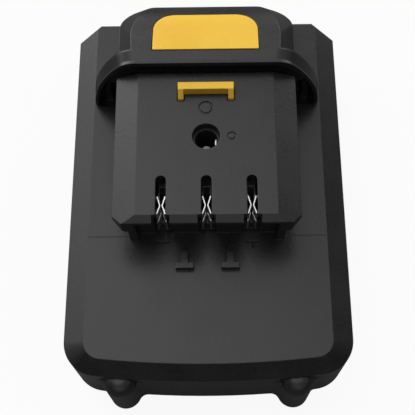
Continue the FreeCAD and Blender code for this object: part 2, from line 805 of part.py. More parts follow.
def open_cover(body):
    """Openings in the top: contact slots, charging hole, hook slot and button well."""
    slots = []
    notches = []
    lips = []
    for index in (-1, 0, 1):
        half = "slot_width / 2"
        middle = f"{index} * slot_pitch"
        end = "rail_near + slot_reach - slot_width / 2"
        slots.append([
            (f"{middle} - {half}", "rail_near - 1"),
            (f"{middle} + {half}", "rail_near - 1"),
            (f"{middle} + {half}", end, half),
            (middle, f"{end} + {half}", half),
            (f"{middle} - {half}", end),
        ])
        notches.append(slot_box(index, "notch_width", "rail_near - 1", "hollow_near + fit_gap"))
        lips.append(slot_box(index, "notch_width", "rail_near - 1", "neck_near"))
    cut(body, "contact_slots", "XY_Plane", "rail_ceiling - 1", "rail_top", slots)
    cut(body, "contact_notches", "XY_Plane", "shoulder + sill_height", "rail_top - recess_drop", notches)
    cut(body, "lip_notches", "XY_Plane", "shoulder + sill_height", "rail_top", lips)
    hole = [("0", "jack_y", "jack_hole_radius")]
    cut(body, "jack_hole", "XY_Plane", "rail_ceiling - 1", "rail_top", [hole])
    cut(body, "hook_slot", "XY_Plane", "rail_ceiling - 1", "rail_top", [hook_shape("slide_gap")])
    top = "shoulder + visor_height + 1"
    cut(body, "button_well", "XY_Plane", "hood_hollow_top - 1", top, [button_shape("slide_gap")])


def add_keys_and_marks(body):
    """Two raised keys on the shoulder, and shallow generic marks."""
    keys = []
    for side in ("-1", "1"):
        middle = f"{side} * key_spacing / 2"
        near = "rail_near - key_set"
        keys.append([
            (f"{middle} - key_bar_width / 2", near),
            (f"{middle} + key_bar_width / 2", near),
            (f"{middle} + key_bar_width / 2", f"{near} + key_bar_depth"),
            (f"{middle} + key_stem_width / 2", f"{near} + key_bar_depth"),
            (f"{middle} + key_stem_width / 2", f"{near} + key_bar_depth + key_stem_length"),
            (f"{middle} - key_stem_width / 2", f"{near} + key_bar_depth + key_stem_length"),
            (f"{middle} - key_stem_width / 2", f"{near} + key_bar_depth"),
            (f"{middle} - key_bar_width / 2", f"{near} + key_bar_depth"),
        ])
    pad(body, "keys", "XY_Plane", "shoulder - shell_wall / 2", "shoulder + key_height", keys)
    reach = "mark_length / 2"
    thin = "mark_width / 2"
    mark_y = "rail_near + mark_set"
    left, right = "-mark_spacing / 2", "mark_spacing / 2"
    minus = box(f"{left} - {reach}", f"{mark_y} - {thin}", f"{left} + {reach}", f"{mark_y} + {thin}")
    plus = [
        (f"{right} - {thin}", f"{mark_y} - {reach}"),
        (f"{right} + {thin}", f"{mark_y} - {reach}"),
        (f"{right} + {thin}", f"{mark_y} - {thin}"),
        (f"{right} + {reach}", f"{mark_y} - {thin}"),
        (f"{right} + {reach}", f"{mark_y} + {thin}"),
        (f"{right} - {reach}", f"{mark_y} + {thin}"),
        (f"{right} - {reach}", f"{mark_y} - {thin}"),
        (f"{right} - {thin}", f"{mark_y} - {thin}"),
    ]
    step_y = "rail_near + step_set"
    steps = both_sides("neck_width / 2 + step_margin", step_y,
                       "half_width - bevel_side - step_margin", f"{step_y} + step_width")
    cut(body, "shoulder_marks", "XY_Plane", "shoulder - mark_depth", "shoulder", [minus, plus])
    cut(body, "shoulder_steps", "XY_Plane", "shoulder - step_depth", "shoulder", steps)
    large_y = "rail_near + ring_large_set"
    rings = [
        [("0", large_y, "ring_large_radius")],
        [("0", large_y, "ring_large_radius - mark_width")],
        [("ring_small_x", "jack_y", "ring_small_radius")],
        [("ring_small_x", "jack_y", "ring_small_radius - mark_width")],
    ]
    cut(body, "rail_marks", "XY_Plane", "rail_top - mark_depth", "rail_top", rings)


def build_release_latch():
    """Button, arm and hook in one moulding. It moves straight down when the button is pressed."""
    body = moulding("release_latch")
    top = "shoulder + visor_height + 1"
    pad(body, "button_block", "XY_Plane", "arm_height", top, [button_shape("0")])
    cut(body, "button_face", "YZ_Plane", "-button_width", "button_width", [slope_cut("button_proud")])
    inner = wide_box("button_width - 2 * button_wall", "crest_y + slide_gap + button_wall",
                     "button_far - button_wall")
    cut(body, "button_hollow", "XY_Plane", "arm_height", "button_roof", [inner])
    pins = spring_points("spring_pin_radius")
    pad(body, "button_pins", "XY_Plane",
        "button_roof - spring_pin_height", "button_roof + button_wall / 2", pins)
    hook_near = "hook_y - hook_bar - hook_leg_length"
    arm = wide_box("arm_width", hook_near, "crest_y + slide_gap + button_wall / 2")
    pad(body, "arm", "XY_Plane", "arm_height", "arm_height + arm_thickness", [arm])
    stop = "rail_ceiling - hook_stop_gap"
    base = wide_box("hook_base_width", hook_near, f"{hook_near} + hook_base_length")
    pad(body, "hook_base", "XY_Plane", "arm_height", stop, [base])
    pad(body, "hook", "XY_Plane", stop, "rail_top + hook_proud", [hook_shape("0")])
    tip = "rail_top + hook_proud"
    ramp = [
        (hook_near, f"{tip} - hook_leg_drop"),
        ("hook_y - hook_bar", tip),
        ("hook_y - hook_bar", f"{tip} + 1"),
        (f"{hook_near} - 1", f"{tip} + 1"),
        (f"{hook_near} - 1", f"{tip} - hook_leg_drop"),
    ]
    cut(body, "hook_ramps", "YZ_Plane", "-hook_width", "hook_width", [ramp])
    return body


def spring_points(radius):
    return [[(f"{side} * spring_spacing / 2", "spring_y", radius)] for side in ("-1", "1")]


def build_latch_retainer():
    """Plate under the hood that carries the two springs."""
    body = moulding("latch_retainer")
    plate = wide_box("retainer_width", "retainer_near", "retainer_far")
    pad(body, "plate", "XY_Plane", "retainer_bottom", "retainer_top", [plate])
    pad(body, "plate_pins", "XY_Plane", "retainer_bottom", "retainer_top + spring_pin_height",
        spring_points("spring_pin_radius"))
    holes = retainer_points("retainer_screw_radius + fit_gap")
    cut(body, "plate_holes", "XY_Plane", "retainer_bottom", "retainer_top", holes)
    return body


def build_latch_spring(name, side):
    """Compression spring between the retainer and the roof of the button."""
    body = moulding(name)
    wire = outline(body, name + "_wire", "XZ_Plane", "0", [
        [("spring_radius - spring_wire / 2", "0", "spring_wire / 2")],
    ])
    helix = body.newObject("PartDesign::AdditiveHelix", name + "_coil")
    helix.Profile = wire
    helix.ReferenceAxis = (wire, ["V_Axis"])
    helix.Mode = 0
    helix.setExpression("Pitch", bind("spring_pitch"))
    helix.setExpression("Height", bind("button_roof - retainer_top - spring_wire - 2 * fit_gap"))
    body.setExpression("Placement.Base.x", bind(f"{side} * spring_spacing / 2"))
    body.setExpression("Placement.Base.y", bind("spring_y"))
    body.setExpression("Placement.Base.z", bind("retainer_top + spring_wire / 2 + fit_gap"))
    return body


def solid_of(name, solids):
    """Several separate solids of one kind, kept together under one name."""
    group = doc.addObject("Part::Compound", name)
    group.Label = name
    group.Links = solids
    return group


def cylinder(name, x, y, z, radius, height):
    solid = doc.addObject("Part::Cylinder", name)
    solid.setExpression("Radius", bind(radius))
    solid.setExpression("Height", bind(height))
    for axis, rule in zip("xyz", (x, y, z)):
        solid.setExpression(f"Placement.Base.{axis}", bind(rule))
    return solid


def block(name, x, y, z, length, width, height):
    """A box given by its lowest corner and its sides along X, Y and Z."""
    solid = doc.addObject("Part::Box", name)
    for side, rule in zip(("Length", "Width", "Height"), (length, width, height)):
        solid.setExpression(side, bind(rule))
    for axis, rule in zip("xyz", (x, y, z)):
        solid.setExpression(f"Placement.Base.{axis}", bind(rule))
    return solid


def screw(name, x, y, z, sizes):
    """Round head with a square drive, and a plain shank going up from its seat at z."""
    head_radius, head_height, radius, length, drive = sizes
    head = cylinder(name + "_head", x, y, f"{z} - {head_height}", head_radius, head_height)
    shank = cylinder(name + "_shank", x, y, z, radius, length)
    drive_height = f"{head_height} / 2"
    recess = block(name + "_drive", f"{x} - {drive} / 2", f"{y} - {drive} / 2", f"{z} - {head_height}",
                   drive, drive, drive_height)
    whole = doc.addObject("Part::Fuse", name + "_blank")
    whole.Base = head
    whole.Tool = shank
    done = doc.addObject("Part::Cut", name)
    done.Base = whole
    done.Tool = recess
    return done


def build_screws():
    case_sizes = (
        "screw_head_radius", "screw_head_height", "screw_radius", "screw_length", "screw_drive_width",
    )
    case = [
        screw(f"case_screw_{number}", f"{side} * pillar_spacing / 2", "boss_y", "screw_seat", case_sizes)
        for number, side in ((1, "-1"), (2, "1"))
    ]
    plate_sizes = ("retainer_head_radius", "retainer_head_height", "retainer_screw_radius",
                   "retainer_screw_length + retainer_thickness", "retainer_screw_radius")
    plate = []
    for number, corner in enumerate(retainer_points("0")):
        x, y, _ = corner[0]
        plate.append(screw(f"retainer_screw_{number + 1}", x, y, "retainer_bottom", plate_sizes))
    return [solid_of("case_screws", case), solid_of("retainer_screws", plate)]


def plus_side(number):
    """The side that a cell's plus end faces: -X for odd cells, +X for even ones."""
    return -1 if number % 2 else 1


def build_cell(number):
    """One cylindrical cell along X."""
    name = f"cell_{number}"
    body = moulding(name)
    way = plus_side(number)
    can_end = "(cell_end - cell_cap_height)"
    steps = [
        ("-cell_end", "0"),
        ("-cell_end", "cell_radius - cell_groove_depth"),
        ("cell_groove_depth - cell_end", "cell_radius"),
        (f"{can_end} - cell_groove_set - cell_groove_depth", "cell_radius"),
        (f"{can_end} - cell_groove_set", "cell_radius - cell_groove_depth"),
        (f"{can_end} - cell_groove_set + cell_groove_depth", "cell_radius"),
        (f"{can_end} - cell_groove_depth", "cell_radius"),
        (can_end, "cell_radius - cell_groove_depth"),
        (can_end, "cell_cap_radius"),
        ("cell_end", "cell_cap_radius"),
        ("cell_end", "0"),
    ]
    corners = [(f"{way} * ({x})", y) for x, y in steps]
    profile = outline(body, name + "_profile", "XZ_Plane", "0", [corners])
    turned = body.newObject("PartDesign::Revolution", name + "_turned")
    turned.Profile = profile
    turned.ReferenceAxis = (profile, ["H_Axis"])
    turned.Angle = 360
    body.setExpression("Placement.Base.y", bind(f"first_cell + {number - 1} * cell_pitch"))
    body.setExpression("Placement.Base.z", bind("cell_height"))
    return body


def build_cell_holder(name, side):
    """Frame around one end of all the cells."""
    body = moulding(name)
    reach = "cell_radius + holder_gap + holder_wall"
    frame = box(f"first_cell - ({reach})", "holder_bottom", f"last_cell + ({reach})", "holder_top")
    low, high = "holder_inner", "cell_end"
    if side < 0:
        low, high = f"-({high})", f"-({low})"
    pad(body, name + "_frame", "YZ_Plane", low, high, [frame])
    bores = [
        [(f"first_cell + {number} * cell_pitch", "cell_height", "cell_radius + holder_gap")]
        for number in range(int(value("cell_count")))
    ]
    cut(body, name + "_bores", "YZ_Plane", f"{low} - 1", f"{high} + 1", bores)
    return body


def strip_level(side):
    """The span along X of the nickel on one side of the cells."""
    if side < 0:
        return "-cell_end - strip_thickness", "-cell_end"
    return "cell_end", "cell_end + strip_thickness"


def build_strip(name, side, first):
    """Nickel link across the ends of two neighbouring cells, narrowed between them."""
    body = moulding(name)
    low, high = strip_level(side)
    start = f"first_cell + {first - 1} * cell_pitch"
    end = f"first_cell + {first} * cell_pitch"
    plate = box(f"{start} - strip_end", "cell_height - strip_height / 2",
                f"{end} + strip_end", "cell_height + strip_height / 2")
    pad(body, name + "_plate", "YZ_Plane", low, high, [plate])
    middle = f"({start} + {end}) / 2"
    waist = box(f"{middle} - strip_end / 2", "cell_height - strip_height / 8",
                f"{middle} + strip_end / 2", "cell_height + strip_height / 8")
    cut(body, name + "_waist", "YZ_Plane", low, high, [waist])
    return body


def build_tab(name, side, cell, riser):
    """Nickel tab from an end cell up over the holder to the board."""
    body = moulding(name)
    low, high = strip_level(side)
    middle = f"first_cell + {cell - 1} * cell_pitch"
    band = ("cell_height + strip_height / 2", "cell_height + strip_height")
    near, far = (f"{middle} - strip_end", riser) if cell == 1 else (riser, f"{middle} + strip_end")
    pad(body, name + "_weld", "YZ_Plane", low, high, [
        box(f"{middle} - strip_end", "cell_height - strip_height / 2", f"{middle} + strip_end", band[1]),
    ])
    pad(body, name + "_run", "YZ_Plane", low, high, [box(near, band[0], f"{far} + tab_width", band[1])])
    pad(body, name + "_riser", "YZ_Plane", low, high, [
        box(riser, band[0], f"{riser} + tab_width", "tab_top"),
    ])
    inner = "board_width / 2 - tab_width / 2"
    outer = "cell_end + strip_thickness"
    path = [
        (inner, "tab_top - strip_thickness"),
        (outer, "tab_top - strip_thickness"),
        (outer, "tab_top"),
        (f"{inner} + strip_thickness", "tab_top"),
        (f"{inner} + strip_thickness", "board_height"),
        (inner, "board_height"),
    ]
    path = [(f"{side} * ({x})", z) for x, z in path]
    pad(body, name + "_bridge", "XZ_Plane", riser, f"{riser} + tab_width", [path])
    return body


def build_insulator(name, side):
    """Paper sheet between the nickel and the case wall."""
    body = moulding(name)
    inner = "cell_end + strip_thickness + fit_gap / 2"
    outer = f"{inner} + sheet_thickness"
    low, high = (f"-({outer})", f"-({inner})") if side < 0 else (inner, outer)
    paper = box("first_cell - cell_radius", "sheet_bottom", "last_cell + cell_radius", "sheet_top")
    pad(body, name + "_paper", "YZ_Plane", low, high, [paper])
    return body


def build_board_tray():
    """Thin tray on the cells with four posts under the board."""
    body = moulding("board_tray")
    plate = wide_box("tray_width", "tray_near", "tray_near + tray_length")
    pad(body, "tray_plate", "XY_Plane", "tray_bottom", "tray_bottom + tray_thickness", [plate])
    posts = board_points("board_post_radius")
    pad(body, "tray_posts", "XY_Plane", "tray_bottom", "board_height", posts)
    return body


def board_points(radius):
    """The four support points of the board."""
    points = []
    for side in ("-1", "1"):
        for y in ("board_near + board_post_inset", "board_near + board_length - board_post_inset"):
            points.append([(f"{side} * (board_width / 2 - 2 * board_post_inset)", y, radius)])
    return points


def build_board_parts():
    """The board, and the parts soldered on top of it."""
    board = block("circuit_board", "-board_width / 2", "board_near", "board_height",
                  "board_width", "board_length", "board_thickness")
    chip = block("board_chip", "chip_x - chip_size / 2", "board_near + chip_set", "board_top",
                 "chip_size", "chip_size", "chip_height")
    transistors = [
        block(f"board_transistor_{number}", f"{side} * transistor_x - transistor_width / 2",
              "board_near + transistor_set", "board_top",
              "transistor_width", "transistor_length", "transistor_height")
        for number, side in ((1, "-1"), (2, "1"))
    ]
    capacitor = cylinder("board_capacitor", "-capacitor_x", "board_near + capacitor_set", "board_top",
                         "capacitor_radius", "capacitor_height")
    return [board, chip, solid_of("board_transistors", transistors), capacitor]


def build_terminal_block():
    """Insulating block with a channel for each contact."""
    body = moulding("terminal_block")
    plan = wide_box("terminal_width", "board_near", "terminal_far")
    pad(body, "terminal_solid", "XY_Plane", "board_top", "terminal_top", [plan])
    channels = [
        slot_box(index, "notch_width", "board_near - 1", "terminal_far - terminal_back")
        for index in (-1, 0, 1)
    ]
    cut(body, "terminal_channels", "XY_Plane", "terminal_floor", "terminal_top", channels)
    back = "terminal_far - terminal_back"
    tails = [
        slot_box(index, "contact_tail_width + 2 * fit_gap", f"{back} - contact_thickness - 2 * fit_gap", back)
        for index in (-1, 0, 1)
    ]
    cut(body, "terminal_tail_slots", "XY_Plane", "board_top", "terminal_floor", tails)
    return body


def build_contact(name, index):
    """Forked contact: two leaves that pinch together and flare again towards the near end."""
    body = moulding(name)
    middle = f"{index} * slot_pitch"
    back = "terminal_far - terminal_back - fit_gap"
    wide = "contact_half_width"
    thin = "contact_thickness"
    shoulder_y = "neck_near + contact_shoulder_set"
    pinch_y = "neck_near + contact_pinch_set"
    tip_y = "neck_near + contact_tip_set"
    outer = [
        (wide, back),
        (wide, shoulder_y),
        (f"contact_pinch + {thin}", pinch_y),
        (f"{wide} + contact_flare", tip_y),
        (f"{wide} + contact_flare - {thin}", f"{tip_y} - {thin} / 4"),
        ("contact_pinch", pinch_y),
        (f"{wide} - {thin}", f"{shoulder_y} + {thin} / 4"),
        (f"{wide} - {thin}", f"{back} - {thin}"),
    ]
    right = [(f"{middle} + {x}", y) for x, y in outer]
    left = [(f"{middle} - ({x})", y) for x, y in reversed(outer)]
    pad(body, name + "_leaves", "XY_Plane", "contact_bottom", "contact_top", [right + left])
    window = slot_box(index, f"4 * {wide}", "contact_split_low", "contact_split_high")
    cut(body, name + "_split", "XZ_Plane", f"{tip_y} - 1", f"{shoulder_y} - 3 * {thin}", [window])
    rear = slot_box(index, f"4 * {wide}", "contact_rear_top", "contact_top + 1")
    cut(body, name + "_rear", "XZ_Plane", f"{shoulder_y} + {thin}", f"{back} + 1", [rear])
    tail = slot_box(index, "contact_tail_width", f"{back} - {thin}", back)
    pad(body, name + "_tail", "XY_Plane", "board_top", "contact_bottom + 1", [tail])
    return body


def build_jack():
    """Round charging socket: barrel, centre pin and side leaf."""
    barrel = moulding("dc_jack_body")
    top = "rail_ceiling - hook_stop_gap"
    pad(barrel, "barrel", "XY_Plane", "board_top", top, [[("0", "jack_y", "jack_body_radius")]])
    cut(barrel, "barrel_bore", "XY_Plane", f"{top} - jack_bore_depth", top,
        [[("0", "jack_y", "jack_bore_radius")]])
    pin = cylinder("dc_jack_pin", "0", "jack_y", f"{top} - jack_bore_depth",
                   "jack_pin_radius", "jack_bore_depth - jack_pin_short")
    leaf = block("dc_jack_leaf", "jack_bore_radius - 2 * jack_leaf_thickness", "jack_y - jack_leaf_width / 2",
                 f"{top} - jack_bore_depth", "jack_leaf_thickness", "jack_leaf_width", "jack_leaf_length")
    return [barrel, pin, leaf]


def build_cell_pad():
    """Foam between the case floor and the cells."""
    return block("cell_pad", "-pad_half_width", "first_cell - cell_radius", "floor_thickness",
                 "2 * pad_half_width", "last_cell - first_cell + cell_diameter", "pad_thickness")


def build_everything():
    parts = [build_bottom_case(), build_top_cover(), build_release_latch(), build_latch_retainer()]
    parts += [build_latch_spring("latch_spring_left", -1), build_latch_spring("latch_spring_right", 1)]
    parts += build_screws()
    count = int(value("cell_count"))
    parts += [build_cell(number) for number in range(1, count + 1)]
    parts += [build_cell_holder("cell_holder_left", -1), build_cell_holder("cell_holder_right", 1)]
    parts += [
        build_strip(f"strip_{first}_{first + 1}", plus_side(first), first)
        for first in range(1, count)
    ]
    near_riser = "tray_near + tab_width"
    far_riser = "tray_near + tray_length - 2 * tab_width"
    parts.append(build_tab("tab_negative", -plus_side(1), 1, near_riser))
    parts.append(build_tab("tab_positive", plus_side(count), count, far_riser))
    parts += [build_insulator("insulator_left", -1), build_insulator("insulator_right", 1)]
    parts += [build_board_tray(), build_terminal_block(), build_cell_pad()]
    parts += build_board_parts()
    parts += build_jack()
    for name, index in (("contact_negative", -1), ("contact_sense", 0), ("contact_positive", 1)):
        parts.append(build_contact(name, index))
    return parts


def check_document(parts):
    """Stop if any object failed, any shape is missing or broken, or a cut removed nothing."""
    failed = [item.Name for item in doc.Objects if "Invalid" in item.State or "Error" in item.State]
    if failed:
        raise RuntimeError(f"failed objects: {failed}")
    for item in doc.Objects:
        if item.TypeId == "PartDesign::Pocket" and item.BaseFeature:
            if item.Shape.Volume > item.BaseFeature.Shape.Volume - 1e-6:
                raise RuntimeError(f"{item.Name} removes nothing")
    for item in parts:
        if item.Shape.isNull() or not item.Shape.isValid():
            raise RuntimeError(f"{item.Label} has no valid shape")


def write_parts(parts):
    os.makedirs("parts", exist_ok=True)
    for item in parts:
        item.Shape.exportStep(f"parts/{item.Label}.step")
        solids = len(item.Shape.Solids)
        print(f"{item.Label}: {solids} solid(s), {item.Shape.Volume:.1f} mm3")


doc.recompute()
all_parts = build_everything()
doc.recompute()
check_document(all_parts)
write_parts(all_parts)
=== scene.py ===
import json
import math

import bpy
from mathutils import Matrix, Vector


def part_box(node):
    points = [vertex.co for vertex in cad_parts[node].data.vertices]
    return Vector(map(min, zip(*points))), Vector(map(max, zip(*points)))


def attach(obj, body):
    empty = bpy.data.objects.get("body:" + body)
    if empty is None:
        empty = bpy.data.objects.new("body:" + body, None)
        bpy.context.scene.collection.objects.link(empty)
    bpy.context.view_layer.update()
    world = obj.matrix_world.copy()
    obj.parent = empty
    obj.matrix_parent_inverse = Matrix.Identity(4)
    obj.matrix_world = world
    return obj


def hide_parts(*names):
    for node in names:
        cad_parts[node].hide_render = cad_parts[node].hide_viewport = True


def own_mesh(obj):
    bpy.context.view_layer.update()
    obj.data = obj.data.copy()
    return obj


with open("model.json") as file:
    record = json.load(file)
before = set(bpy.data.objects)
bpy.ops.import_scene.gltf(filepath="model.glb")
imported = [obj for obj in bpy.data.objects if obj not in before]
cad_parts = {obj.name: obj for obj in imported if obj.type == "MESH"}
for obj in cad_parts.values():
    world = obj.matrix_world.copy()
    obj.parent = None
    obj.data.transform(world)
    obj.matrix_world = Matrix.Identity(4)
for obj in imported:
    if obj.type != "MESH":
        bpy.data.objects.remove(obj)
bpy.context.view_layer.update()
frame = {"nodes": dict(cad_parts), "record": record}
nodes = frame["nodes"]
MM = 0.001


# Node helpers

BEVEL_SAMPLES = 6
FULL_EDGE = 0.82  # cosine between the rounded and the plain normal where the edge mask is 1
MIX_FIRST, MIX_SECOND, MIX_RESULT = 6, 7, 2  # the colour sockets, which share their names


class Graph:
    """A small wrapper that adds and links the shader nodes of a material or a world."""

    def __init__(self, owner, output="ShaderNodeOutputMaterial"):
        owner.use_nodes = True
        self.owner = owner
        self.tree = owner.node_tree
        self.tree.nodes.clear()
        self.out = self.add(output)

    def add(self, kind, inputs=None, **settings):
        """A new node with its settings, and with its inputs linked or set to plain values."""
        node = self.tree.nodes.new(kind)
        for key, value in settings.items():
            setattr(node, key, value)
        for key, value in (inputs or {}).items():
            if isinstance(value, bpy.types.NodeSocket):
                self.link(value, node.inputs[key])
            else:
                node.inputs[key].default_value = value
        return node

    def link(self, source, target):
        self.tree.links.new(source, target)

    def coords(self):
        """Object coordinates in millimetres."""
        source = self.add("ShaderNodeTexCoord").outputs["Object"]
        return self.add("ShaderNodeVectorMath", {0: source, "Scale": 1.0 / MM},
                        operation="SCALE").outputs[0]

    def noise(self, where, scale, detail, rough, stretch=None):
        """Noise whose grain is about 1 / scale millimetres, and finer by the stretch."""
        if stretch:
            where = self.add("ShaderNodeMapping", {"Vector": where, "Scale": stretch}).outputs[0]
        return self.add("ShaderNodeTexNoise", {
            "Vector": where, "Scale": scale, "Detail": detail, "Roughness": rough,
        }).outputs["Fac"]

    def cells(self, where, scale, smoothness):
        return self.add("ShaderNodeTexVoronoi", {
            "Vector": where, "Scale": scale, "Smoothness": smoothness,
        }, feature="SMOOTH_F1").outputs["Distance"]

    def remap(self, value, span, out=(0.0, 1.0), **settings):
        """The value with one span brought to another, and held at its ends."""
        return self.add("ShaderNodeMapRange", {
            "Value": value, "From Min": span[0], "From Max": span[1],
            "To Min": out[0], "To Max": out[1],
        }, **settings).outputs["Result"]

    def maths(self, operation, first, second):
        return self.add("ShaderNodeMath", {0: first, 1: second}, operation=operation).outputs[0]

    def blend(self, first, second, share):
        """A share of the first value and the rest of the second."""
        return self.maths("ADD", self.maths("MULTIPLY", first, share),
                          self.maths("MULTIPLY", second, 1.0 - share))

    def dot(self, first, second):
        return self.add("ShaderNodeVectorMath", {0: first, 1: second},
                        operation="DOT_PRODUCT").outputs["Value"]

    def mix(self, amount, dark, light):
        """Mix two colours by a value; each is three numbers or another node's output."""
        dark, light = ((*colour, 1.0) if isinstance(colour, tuple) else colour
                       for colour in (dark, light))
        return self.add("ShaderNodeMix", {
            "Factor": amount, MIX_FIRST: dark, MIX_SECOND: light,
        }, data_type="RGBA").outputs[MIX_RESULT]

    def bump(self, height, distance, strength, normal):
        return self.add("ShaderNodeBump", {
            "Height": height, "Distance": distance, "Strength": strength, "Normal": normal,
        }).outputs["Normal"]

    def soft_edge(self, radius):
        """The normal rounded over near sharp edges, and a mask that is 1 on those edges."""
        rounded = self.add("ShaderNodeBevel", {"Radius": radius}, samples=BEVEL_SAMPLES).outputs[0]
        plain = self.add("ShaderNodeNewGeometry").outputs["Normal"]
        return rounded, self.remap(self.dot(rounded, plain), (1.0, FULL_EDGE))

    def principled(self, colour, roughness, normal, **plain):
        """The finished material; plain names sockets with an underscore for each space."""
        named = {key.replace("_", " "): value for key, value in plain.items()}
        shader = self.add("ShaderNodeBsdfPrincipled", {
            "Base Color": colour, "Roughness": roughness, "Normal": normal, **named,
        })
        self.link(shader.outputs[0], self.out.inputs["Surface"])
        return self.owner


# Finishes. Scales count spots per millimetre, and spans say where the noise is read.

TONE_SPAN, ROUGH_SPAN, SCUFF_AND_SHEEN_SPAN = (0.35, 0.65), (0.3, 0.7), (0.42, 0.62)
CLOUD_SCALE, SCUFF_AND_SHEEN_SCALE, SMUDGE_SCALE, LINE_SCALE = 0.09, 0.5, 0.6, 6.0
PIT_SCALE = 0.8  # of the grain's own scale
SCUFF_AND_SHEEN_SHARE, EDGE_POLISH = 0.6, 0.06
METAL_EDGE, METAL_DEPTH, METAL_EDGE_LIFT = 0.08 * MM, 0.01 * MM, 0.2


def moulded(name, dark, light, grain, depth, rough, edge=0.25, edge_wear_and_highlight=None, **plain):
    """Moulded plastic: spark-eroded grain, cloudy tone, rounded and slightly polished edges, and
    edges lightened by a colour that is partly wear and partly a painted highlight.

    Grain is a scale, depth and edge are in millimetres, and rough is a span.
    """
    g = Graph(bpy.data.materials.new(name))
    at = g.coords()
    soft, edges = g.soft_edge(edge * MM)
    cloud = g.noise(at, CLOUD_SCALE, detail=2.0, rough=0.5)
    fine = g.noise(at, grain, detail=2.0, rough=0.6)
    pits = g.cells(at, grain * PIT_SCALE, smoothness=0.6)
    colour = g.mix(g.remap(g.blend(cloud, fine, share=0.55), TONE_SPAN), dark, light)
    # Edges lightened by a colour that is partly scuffed wear and partly a painted highlight along
    # the edges.
    if edge_wear_and_highlight:
        scuffs_and_sheen = g.remap(g.noise(at, SCUFF_AND_SHEEN_SCALE, detail=4.0, rough=0.65), SCUFF_AND_SHEEN_SPAN)
        worn_and_highlit = g.maths("MULTIPLY", edges, g.maths("MULTIPLY", scuffs_and_sheen, SCUFF_AND_SHEEN_SHARE))
        colour = g.mix(worn_and_highlit, colour, edge_wear_and_highlight)
    matt = g.remap(g.blend(fine, cloud, share=0.5), ROUGH_SPAN, rough)
    polish = g.maths("MULTIPLY", edges, EDGE_POLISH)
    height = g.blend(fine, pits, share=0.6)
    normal = g.bump(height, depth * MM, strength=0.5, normal=soft)
    return g.principled(colour, g.maths("SUBTRACT", matt, polish), normal, **plain)


def metal(name, dark, light, rough, stretch):
    """Rolled or plated metal with small smudges, and fine lines across its largest stretch."""
    g = Graph(bpy.data.materials.new(name))
    at = g.coords()
    soft, edges = g.soft_edge(METAL_EDGE)
    lines = g.noise(at, LINE_SCALE, detail=2.0, rough=0.6, stretch=stretch)
    smudge = g.noise(at, SMUDGE_SCALE, detail=3.0, rough=0.6)
    colour = g.mix(g.remap(smudge, TONE_SPAN), dark, light)
    matt = g.remap(g.blend(lines, smudge, share=0.5), ROUGH_SPAN, rough)
    height = g.maths("ADD", lines, g.maths("MULTIPLY", edges, METAL_EDGE_LIFT))
    normal = g.bump(height, METAL_DEPTH, strength=0.4, normal=soft)
    return g.principled(colour, matt, normal, Metallic=1.0)


finishes = {
    "shell": moulded("shell_black", (0.014, 0.014, 0.0142), (0.022, 0.022, 0.0222),
                     grain=1.3, depth=0.05, rough=(0.24, 0.36), edge=0.3,
                     # lighter edge colour, partly wear and partly a painted highlight
                     edge_wear_and_highlight=(0.03, 0.03, 0.031)),
    "latch": moulded("latch_yellow", (0.93, 0.54, 0.045), (0.97, 0.60, 0.06),
                     grain=1.4, depth=0.012, rough=(0.34, 0.46), edge=0.3,
                     Specular_IOR_Level=0.3),
    "black_plastic": moulded("inner_black", (0.012, 0.012, 0.013), (0.02, 0.02, 0.021),
                             grain=2.0, depth=0.03, rough=(0.4, 0.6)),
    "frame_plastic": moulded("inner_grey", (0.07, 0.07, 0.075), (0.1, 0.1, 0.105),
                             grain=1.5, depth=0.03, rough=(0.4, 0.6)),
    "cell_wrap": moulded("cell_wrap", (0.03, 0.17, 0.36), (0.04, 0.22, 0.44),
                         grain=0.8, depth=0.02, rough=(0.2, 0.35)),
    "board": moulded("board_green", (0.015, 0.11, 0.04), (0.025, 0.16, 0.06),
                     grain=1.2, depth=0.02, rough=(0.2, 0.4)),
    "sheet": moulded("insulating_paper", (0.6, 0.55, 0.4), (0.7, 0.65, 0.5),
                     grain=4.0, depth=0.04, rough=(0.7, 0.9)),
    "foam": moulded("foam", (0.03, 0.03, 0.032), (0.06, 0.06, 0.062),
                    grain=2.5, depth=0.3, rough=(0.85, 0.98)),
    "contact": metal("contact_plate", (0.70, 0.69, 0.67), (0.85, 0.84, 0.82),
                     rough=(0.24, 0.38), stretch=(1.0, 1.0, 6.0)),
    "nickel": metal("nickel_strip", (0.58, 0.56, 0.52), (0.72, 0.70, 0.66),
                    rough=(0.25, 0.42), stretch=(6.0, 1.0, 1.0)),
    "steel": metal("zinc_steel", (0.36, 0.36, 0.37), (0.50, 0.50, 0.50),
                   rough=(0.28, 0.45), stretch=(3.0, 3.0, 1.0)),
    "can": metal("aluminium_can", (0.70, 0.70, 0.72), (0.82, 0.82, 0.83),
                 rough=(0.25, 0.4), stretch=(3.0, 3.0, 1.0)),
}
for entry in frame["record"]["subparts"]:
    mesh = nodes[entry["node"]].data
    mesh.materials.clear()
    mesh.materials.append(finishes[entry["material_slot"]])


# Latch springs, drawn as steel coils in place of the CAD springs

WIRE = 0.7 * MM
PITCH = 2.8 * MM
STEPS_PER_TURN, WIRE_SIDES = 36, 10


